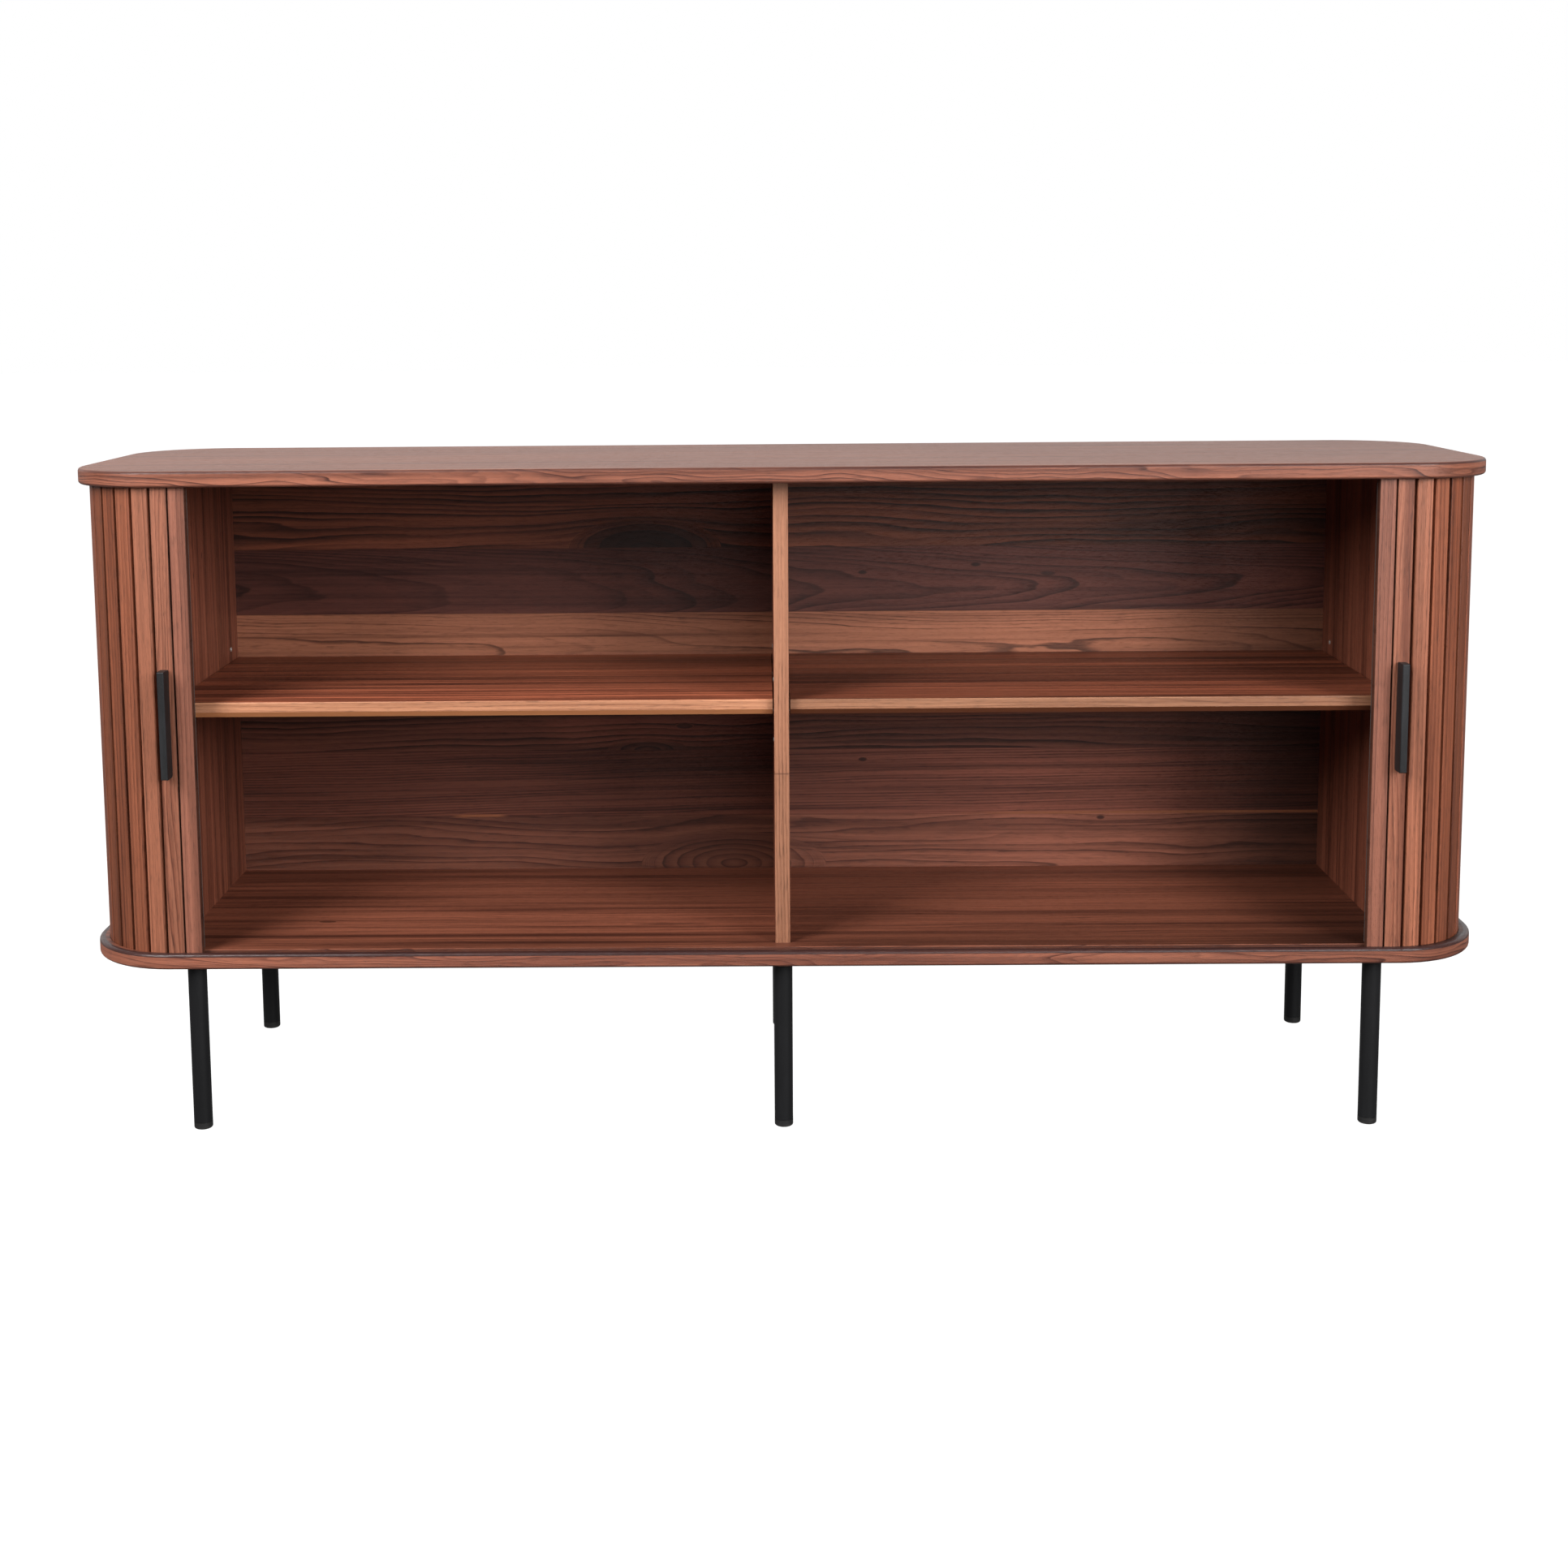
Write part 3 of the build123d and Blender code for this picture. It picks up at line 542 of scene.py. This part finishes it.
def shelf_wood(tree, place, facing):
    """Shelves: narrow staves, a pale front edge and a bevel under it."""
    x, y, z = place
    stave = steps(y, SHELF_SEAMS)
    seed = stave * 2.7 + x.above(0.0) * 7.0 + 40.0
    body = walnut(tree, x, y, z, seed, SHELF_TONE,
                  straight=110.0, warp=1.3, bands=0.85, lines=0.7, stripes=2.8)
    right = x.above(0.0)
    tint = 1.0 + (noise(tree, stave * 3.7, right * 5.0, 8.0, detail=0.0) - 0.5) * 0.75
    # Painted light: the left shelf's top is made paler towards its front edge, where light falls past the top
    # board's shade. It is also made 20% paler all over.
    tint = tint * (1.0 + (1.0 - right) * (0.20 + (y - front).rise(0.20, 0.05) * 0.75))
    body = (shade(tree, body[0], tint),) + body[1:]
    edge = walnut(tree, x, z, y, 51.0 + x.above(0.0) * 3.0,
                  SHELF_EDGE_TONE, straight=200.0, warp=1.2,
                  slope=0.012, bands=0.45, lines=0.35)
    edge = (shade(tree, edge[0], 1.26 - right * 0.50),) + edge[1:]
    ahead = (facing[1] * -1.0).rise(0.35, 0.6)
    under = (facing[2] * -1.0).rise(0.35, 0.6) * ahead
    colour = blend(tree, ahead, body[0], edge[0])
    bevel = blend(tree, right, *BEVEL_TONES)
    colour = blend(tree, under * 0.9, colour, bevel)
    return colour, body[1], body[2]


SLAT_TONES = (
    (srgb(122, 78, 63), srgb(100, 61, 49), srgb(69, 40, 33)),
    (srgb(127, 81, 63), srgb(99, 57, 43), srgb(67, 36, 27)),
    (srgb(127, 79, 60), srgb(102, 62, 46), srgb(77, 45, 33)),
    (srgb(123, 73, 53), srgb(99, 55, 39), srgb(73, 40, 29)),
    (srgb(113, 65, 46), srgb(85, 47, 34), srgb(60, 33, 24)),
    (srgb(103, 58, 39), srgb(80, 43, 29), srgb(55, 29, 21)),
    (srgb(116, 67, 49), srgb(86, 49, 36), srgb(62, 33, 24)),
    (srgb(104, 58, 41), srgb(78, 42, 31), srgb(54, 28, 21)),
)


def slat_wood(tree, place, facing):
    """Tambour slats: straight vertical grain, each slat with its own colour and figure."""
    x, y, z = place
    run = along_curtain(tree, x, y) - lead_edge
    number = (run / pitch).math("FLOOR")
    local = (run / pitch).math("FRACT") - 0.5
    seed = number * 1.37 + x.above(0.0) * 13.0
    later = number.above(6.5)
    mixed = (number * 0.618).math("FRACT") * 7.0
    tone_number = number * (1.0 - later) + mixed.math("ROUND") * later
    tones = [choose(tree, tone_number, [tone[part] for tone in SLAT_TONES]) for part in range(3)]
    stray = pick(number, (0.5, 1.5), (0.7, 3.2, 0.8))
    body = walnut(tree, z, local * pitch, 0.0, seed, tones, straight=230.0, warp=stray, bands=0.7,
                  lines=0.6, reach=1.6, width=26.0, stripes=1.2)
    # Painted shade: every slat is darkened along its two sides, where it meets the next slat.
    edge = abs(local).rise(0.425, 0.458)
    paler = 1.0 + x.above(0.0) * pick(number, (0.5, 1.5, 2.5, 6.5), (0.0, 0.16, 0.42, 0.16, 0.0))
    colour = shade(tree, body[0], (1.0 - edge * 0.6) * paler)
    return colour, body[1] + 0.04, body[2]


def beech_wood(tree, place, facing):
    """Turned beech: pale, with short dark rays."""
    x, y, z = place
    fibre = noise(tree, x * 900.0, y * 900.0, z * 25.0, detail=3.0)
    rays = noise(tree, x * 1500.0, y * 1500.0, z * 300.0, detail=1.0).rise(0.62, 0.72)
    colour = blend(tree, fibre, srgb(222, 186, 142), srgb(186, 144, 104))
    colour = blend(tree, rays * 0.5, colour, srgb(140, 98, 66))
    return colour, 0.55 + fibre * 0.1, fibre - rays


# ---- Metals, plastic and canvas ----
def powder_coat(name, colour, light_colour, roughness, grain, distance):
    """Powder coat: an orange-peel skin with fine pale specks and slight wear."""
    made, tree, shader = material(name)
    (x, y, z), _ = place_and_facing(tree)
    peel = noise(tree, x * grain, y * grain, z * grain, detail=2.0)
    speck = noise(tree, x * grain * 2.2, y * grain * 2.2, z * grain * 2.2, detail=1.0).rise(0.60, 0.72)
    wear = noise(tree, x * 60.0, y * 60.0, z * 12.0, detail=3.0)
    mixed = blend(tree, speck * 0.55 + wear.rise(0.45, 0.8) * 0.2, colour, light_colour)
    put(shader.inputs["Base Color"], mixed)
    put(shader.inputs["Roughness"], roughness + (peel - 0.5) * 0.12 + (wear - 0.5) * 0.10)
    put(shader.inputs["Normal"], bump(tree, peel, distance))
    shader.inputs["Specular IOR Level"].default_value = COAT_SPECULAR
    return made


def moulded_plastic(name):
    made, tree, shader = material(name)
    (x, y, z), _ = place_and_facing(tree)
    texture = noise(tree, x * 1400.0, y * 1400.0, z * 1400.0, detail=2.0)
    scuff = noise(tree, x * 90.0, y * 90.0, z * 400.0, detail=3.0).rise(0.55, 0.8)
    low = z.rise(0.004, 0.0)
    mixed = blend(tree, scuff * 0.4 + low * 0.25, srgb(26, 25, 25), srgb(74, 70, 66))
    put(shader.inputs["Base Color"], mixed)
    put(shader.inputs["Roughness"], 0.5 + texture * 0.12)
    put(shader.inputs["Normal"], bump(tree, texture, 0.00003))
    return made


def zinc_plate(name, metallic=1.0):
    made, tree, shader = material(name)
    (x, y, z), _ = place_and_facing(tree)
    bloom = noise(tree, x * 220.0, y * 220.0, z * 220.0, detail=4.0)
    scratch = noise(tree, x * 2600.0, y * 180.0, z * 2600.0, detail=2.0)
    put(shader.inputs["Base Color"], blend(tree, bloom, srgb(206, 206, 204), srgb(168, 166, 158)))
    put(shader.inputs["Roughness"], 0.26 + (bloom - 0.5) * 0.16 + (scratch - 0.5) * 0.10)
    put(shader.inputs["Normal"], bump(tree, scratch, 0.00002))
    shader.inputs["Metallic"].default_value = metallic
    return made


THREADS_PER_METRE = 1100.0


def woven_canvas(name):
    """Plain weave: warp and weft swap on every thread, with slubs and stray fibres."""
    made, tree, shader = material(name)
    (x, y, z), _ = place_and_facing(tree)
    run = along_curtain(tree, x, y)
    weft = run * THREADS_PER_METRE
    warp = z * THREADS_PER_METRE
    over = (weft.math("FLOOR") + warp.math("FLOOR")).math("PINGPONG", 1.0)
    across_weft = abs(weft.math("FRACT") - 0.5).rise(0.5, 0.1)
    across_warp = abs(warp.math("FRACT") - 0.5).rise(0.5, 0.1)
    thread = across_weft * over + across_warp * (1.0 - over)
    slub = noise(tree, run * 900.0, z * 45.0, 2.0, detail=3.0)
    fuzz = noise(tree, run * 2400.0, z * 2400.0, y * 2400.0, detail=2.0)
    tint = thread * 0.45 + (slub - 0.5) * 0.5 + (fuzz - 0.5) * 0.4
    mixed = blend(tree, tint.math("MAXIMUM", 0.0), srgb(38, 32, 30), srgb(82, 68, 60))
    put(shader.inputs["Base Color"], mixed)
    put(shader.inputs["Roughness"], 0.85 + (fuzz - 0.5) * 0.1)
    put(shader.inputs["Normal"], bump(tree, thread + slub * 0.4, 0.0002))
    shader.inputs["Sheen Weight"].default_value = 0.25
    return made


finishes = {
    "walnut_boards": finish_wood("board_walnut", board_wood),
    "walnut_uprights": finish_wood("upright_walnut", upright_wood),
    "walnut_shelves": finish_wood("shelf_walnut", shelf_wood),
    "walnut_slats": finish_wood("slat_walnut", slat_wood),
    "walnut_backs": finish_wood("back_walnut", back_wood),
    "beech": finish_wood("turned_beech", beech_wood, roughness_shift=0.05),
    "canvas": woven_canvas("woven_canvas"),
    "handle_black": powder_coat("handle_coat", srgb(30, 30, 31), srgb(66, 67, 70),
                                roughness=0.50, grain=1500.0, distance=0.00004),
    "leg_black": powder_coat("leg_coat", srgb(24, 24, 25), srgb(36, 36, 39),
                             roughness=0.50, grain=1100.0, distance=0.00003),
    "black_plastic": moulded_plastic("glide_plastic"),
    "zinc_steel": zinc_plate("zinc_plate"),
}
outer_back = finish_wood("outer_back_walnut", outer_back_wood)
sleeve_metal = zinc_plate("satin_nickel", metallic=0.25)


def dress(piece, finish):
    """Give a piece one material in place of what it came with."""
    piece.data.materials.clear()
    piece.data.materials.append(finish)


for part in frame["record"]["subparts"]:
    dress(frame["nodes"][part["node"]], finishes[part["material_slot"]])
dress(frame["nodes"]["outer_back_panel"], outer_back)
dress(frame["nodes"]["shelf_pin_sleeves"], sleeve_metal)


# ---- Canvas behind the slats ----
CLOTH_ROWS = 12


def make_piece(name, points, faces, slot):
    mesh = bpy.data.meshes.new(name)
    mesh.from_pydata(points, [], faces)
    mesh.validate()
    mesh.update()
    piece = bpy.data.objects.new(name, mesh)
    bpy.context.scene.collection.objects.link(piece)
    dress(piece, finishes[slot])
    return piece


def curtain_line(run):
    """Plan point and outward direction on the right-hand line of the slat backs, from its front."""
    straight = SLAT_CORNER_X - canvas_split
    quarter = SLAT_BACK_R * pi / 2
    side = slat_corner_rear - slat_corner_front
    turn = min(max(run - straight, 0.0) / SLAT_BACK_R, pi / 2)
    later = min(max(run - straight - quarter - side, 0.0) / SLAT_BACK_R, pi / 2)
    x = min(canvas_split + run, SLAT_CORNER_X) + SLAT_BACK_R * (sin(turn) - 1 + cos(later))
    x -= max(run - straight - 2 * quarter - side, 0.0)
    y = slat_corner_front - SLAT_BACK_R * cos(turn) + SLAT_BACK_R * sin(later)
    y += min(max(run - straight - quarter, 0.0), side)
    angle = turn + later
    return Vector((x, y)), Vector((sin(angle), -cos(angle)))


def ribbon(name, stations, low_z, high_z, rows=CLOTH_ROWS):
    """A strip of cloth with two faces, from plan points each with its outward direction."""
    heights = [low_z + (high_z - low_z) * row / rows for row in range(rows + 1)]
    points = []
    for place, outward in stations:
        for inset in (0.0, canvas):
            spot = place - outward * inset
            points += [(spot.x, spot.y, z) for z in heights]
    tall = rows + 1
    faces = []
    for station in range(len(stations) - 1):
        near, far = station * 2 * tall, (station + 1) * 2 * tall
        for row in range(rows):
            faces.append((near + row, near + row + 1, far + row + 1, far + row))
            faces.append((far + tall + row, far + tall + row + 1,
                          near + tall + row + 1, near + tall + row))
        faces.append((near + rows, near + tall + rows, far + tall + rows, far + rows))
        faces.append((near + tall, near, far, far + tall))
    last = (len(stations) - 1) * 2 * tall
    for row in range(rows):
        faces.append((row, row + tall, row + tall + 1, row + 1))
        faces.append((last + row + 1, last + row + tall + 1, last + row + tall, last + row))
    return make_piece(name, points, faces, "canvas")


def mirrored(stations, side):
    return [(Vector((side * p.x, p.y)), Vector((side * n.x, n.y))) for p, n in stations]


CLOTH_STEP = 0.0099
canvas_run = (SLAT_CORNER_X - canvas_split) + SLAT_BACK_R * pi \
    + (slat_corner_rear - slat_corner_front) + (SLAT_CORNER_X - canvas_low.x)
lead_run = lead_canvas_high.x - lead_canvas_low.x

for side, name in ((-1, "left"), (1, "right")):
    count = round(canvas_run / CLOTH_STEP)
    stations = [curtain_line(canvas_run * index / count) for index in range(count + 1)]
    cloth = ribbon(f"{name}_curtain_cloth", mirrored(stations, side), canvas_low.z, canvas_high.z)
    if side < 0:
        cloth.data.flip_normals()
    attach(cloth, "cabinet")
    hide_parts(f"{name}_curtain_canvas")

    facing_front = Vector((0.0, -1.0))
    stations = [(Vector((lead_canvas_low.x + lead_run * index / 4, lead_canvas_low.y)), facing_front)
                for index in range(5)]
    cloth = ribbon(f"{name}_lead_cloth", mirrored(stations, side), canvas_low.z, canvas_high.z)
    if side < 0:
        cloth.data.flip_normals()
    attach(cloth, f"{name}_door")
    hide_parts(f"{name}_lead_canvas")

# ---- The stretch of each curtain that shows only when its door is shut ----
FOLLOWING_SLATS = 33        # slats between a shut door's leading two and the corner
HIDE = 0.0004               # clearance inside the lead slat, where they wait
store_from = lead_high.x - HIDE
store_to = lead_low.x + HIDE


def stored_x(shut_x):
    near, far = store_to, store_from
    for _ in range(50):
        middle = (near + far) / 2
        share = (store_from - middle) / (store_from - store_to)
        if middle - travel * share * share * (3 - 2 * share) < shut_x:
            near = middle
        else:
            far = middle
    return (near + far) / 2


def slat_profile(centre):
    """Outline of one slat in plan, from its back left corner, all round its face."""
    half = slat_width / 2
    chamfer = 0.0008
    face = lead_low.y + HIDE
    return [
        (centre - half, slat_back - canvas),
        (centre - half, face + chamfer),
        (centre - half + chamfer, face),
        (centre + half - chamfer, face),
        (centre + half, face + chamfer),
        (centre + half, slat_back - canvas),
    ]


def prism(outline, low_z, high_z):
    """Points and faces of a closed upright solid over a plan outline."""
    count = len(outline)
    points = [(x, y, z) for z in (low_z, high_z) for x, y in outline]
    faces = [(i, (i + 1) % count, (i + 1) % count + count, i + count) for i in range(count)]
    faces += [tuple(range(count))[::-1], tuple(range(count, 2 * count))]
    return points, faces


for side, name in ((-1, "left"), (1, "right")):
    shut_centres = [lead_edge - travel + (number + 0.5) * pitch
                    for number in range(2, FOLLOWING_SLATS + 2)]
    moving = shut_centres[:-1]
    outline = []
    for centre in moving:
        outline += slat_profile(centre)
    outline += [(moving[-1] + slat_width / 2, slat_back - HIDE),
                (moving[0] - slat_width / 2, slat_back - HIDE)]
    outline = [(side * stored_x(x), y) for x, y in outline]
    points, faces = prism(outline, lead_low.z + HIDE, lead_high.z - HIDE)
    curtain = make_piece(f"{name}_drawn_slats", points, faces, "walnut_slats")
    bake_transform(curtain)

    outline = [(side * x, y) for x, y in slat_profile(shut_centres[-1])]
    points, faces = prism(outline, lead_low.z + HIDE, lead_high.z - HIDE)
    last_slat = make_piece(f"{name}_drawn_last_slat", points, faces, "walnut_slats")
    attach(last_slat, "cabinet")

# ---- Studio ----
FLOOR_HALF = 30.0
FLOOR_GREY = 0.2            # how much of the lamps' light it gives back
FLOOR_GLOW = 0.93
floor_mesh = bpy.data.meshes.new("studio_floor")
floor_mesh.from_pydata([(-FLOOR_HALF, -FLOOR_HALF, 0), (FLOOR_HALF, -FLOOR_HALF, 0),
                        (FLOOR_HALF, FLOOR_HALF, 0), (-FLOOR_HALF, FLOOR_HALF, 0)], [], [(0, 1, 2, 3)])
floor = bpy.data.objects.new("studio_floor", floor_mesh)
floor.visible_diffuse = False
floor.visible_glossy = False
bpy.context.scene.collection.objects.link(floor)
paper, _, paper_shader = material("pale_floor")
paper_shader.inputs["Base Color"].default_value = (FLOOR_GREY, FLOOR_GREY, FLOOR_GREY, 1.0)
paper_shader.inputs["Roughness"].default_value = 0.9
paper_shader.inputs["Emission Color"].default_value = (1.0, 1.0, 1.0, 1.0)
paper_shader.inputs["Emission Strength"].default_value = FLOOR_GLOW
floor_mesh.materials.append(paper)

BACKDROP = 0.96             # brightness of the white paper behind the object
BOUNCE = 0.19               # and of the light that comes back off the floor
world = bpy.data.worlds.new("studio")
world.use_nodes = True
sky = world.node_tree
_, sky_y, sky_z = split(sky, sky.nodes.new("ShaderNodeTexCoord").outputs["Generated"])
glow = sky_y.rise(0.2, 0.4) * sky_z.rise(-0.02, 0.02) * BACKDROP + sky_z.rise(0.02, -0.02) * BOUNCE
seen = Field(sky.nodes.new("ShaderNodeLightPath").outputs["Is Camera Ray"])
put(sky.nodes["Background"].inputs["Strength"], glow.math("MAXIMUM", seen))
sky.nodes["Background"].inputs["Color"].default_value = (1.0, 1.0, 1.0, 1.0)
bpy.context.scene.world = world
bpy.context.scene.view_settings.view_transform = "Standard"

AIM = Vector((0.0, 0.0, 0.45))
LIGHT_DISTANCE = 3.4


def softbox(name, azimuth, elevation, width, height, power):
    """A soft light aimed at the object, azimuth degrees to the right of its front."""
    away = Vector((sin(radians(azimuth)) * cos(radians(elevation)),
                   -cos(radians(azimuth)) * cos(radians(elevation)), sin(radians(elevation))))
    data = bpy.data.lights.new(name, "AREA")
    data.shape = "RECTANGLE"
    data.size = width
    data.size_y = height
    data.energy = power
    lamp = bpy.data.objects.new(name, data)
    lamp.location = AIM + away * LIGHT_DISTANCE
    lamp.rotation_mode = "QUATERNION"
    lamp.rotation_quaternion = away.to_track_quat("Z", "Y")
    bpy.context.scene.collection.objects.link(lamp)


softbox("left_light", azimuth=-45, elevation=35, width=1.3, height=2.4, power=168.0)
softbox("right_light", azimuth=40, elevation=22, width=1.3, height=2.0, power=118.0)
softbox("front_light", azimuth=12, elevation=18, width=1.3, height=1.8, power=31.0)

# ---- Camera ----
CAMERA_PLACE = (-0.0205, front - 2.3356, 0.9352)
CAMERA_PITCH = radians(7.305)       # down
CAMERA_YAW = radians(0.504)         # to the left
CAMERA_ROLL = radians(-0.453)
SENSOR = 36.0
LENS = 49.03
SHIFT = (0.0256, -0.1301)
camera_data = bpy.data.cameras.new("camera")
camera_data.sensor_width = SENSOR
camera_data.lens = LENS
camera_data.shift_x, camera_data.shift_y = SHIFT
camera_data.clip_end = 100.0
camera = bpy.data.objects.new("camera", camera_data)
camera.matrix_world = (
    Matrix.Translation(CAMERA_PLACE)
    @ Matrix.Rotation(CAMERA_YAW, 4, "Z")
    @ Matrix.Rotation(pi / 2 - CAMERA_PITCH, 4, "X")
    @ Matrix.Rotation(CAMERA_ROLL, 4, "Z")
)
bpy.context.scene.collection.objects.link(camera)
bpy.context.scene.camera = camera
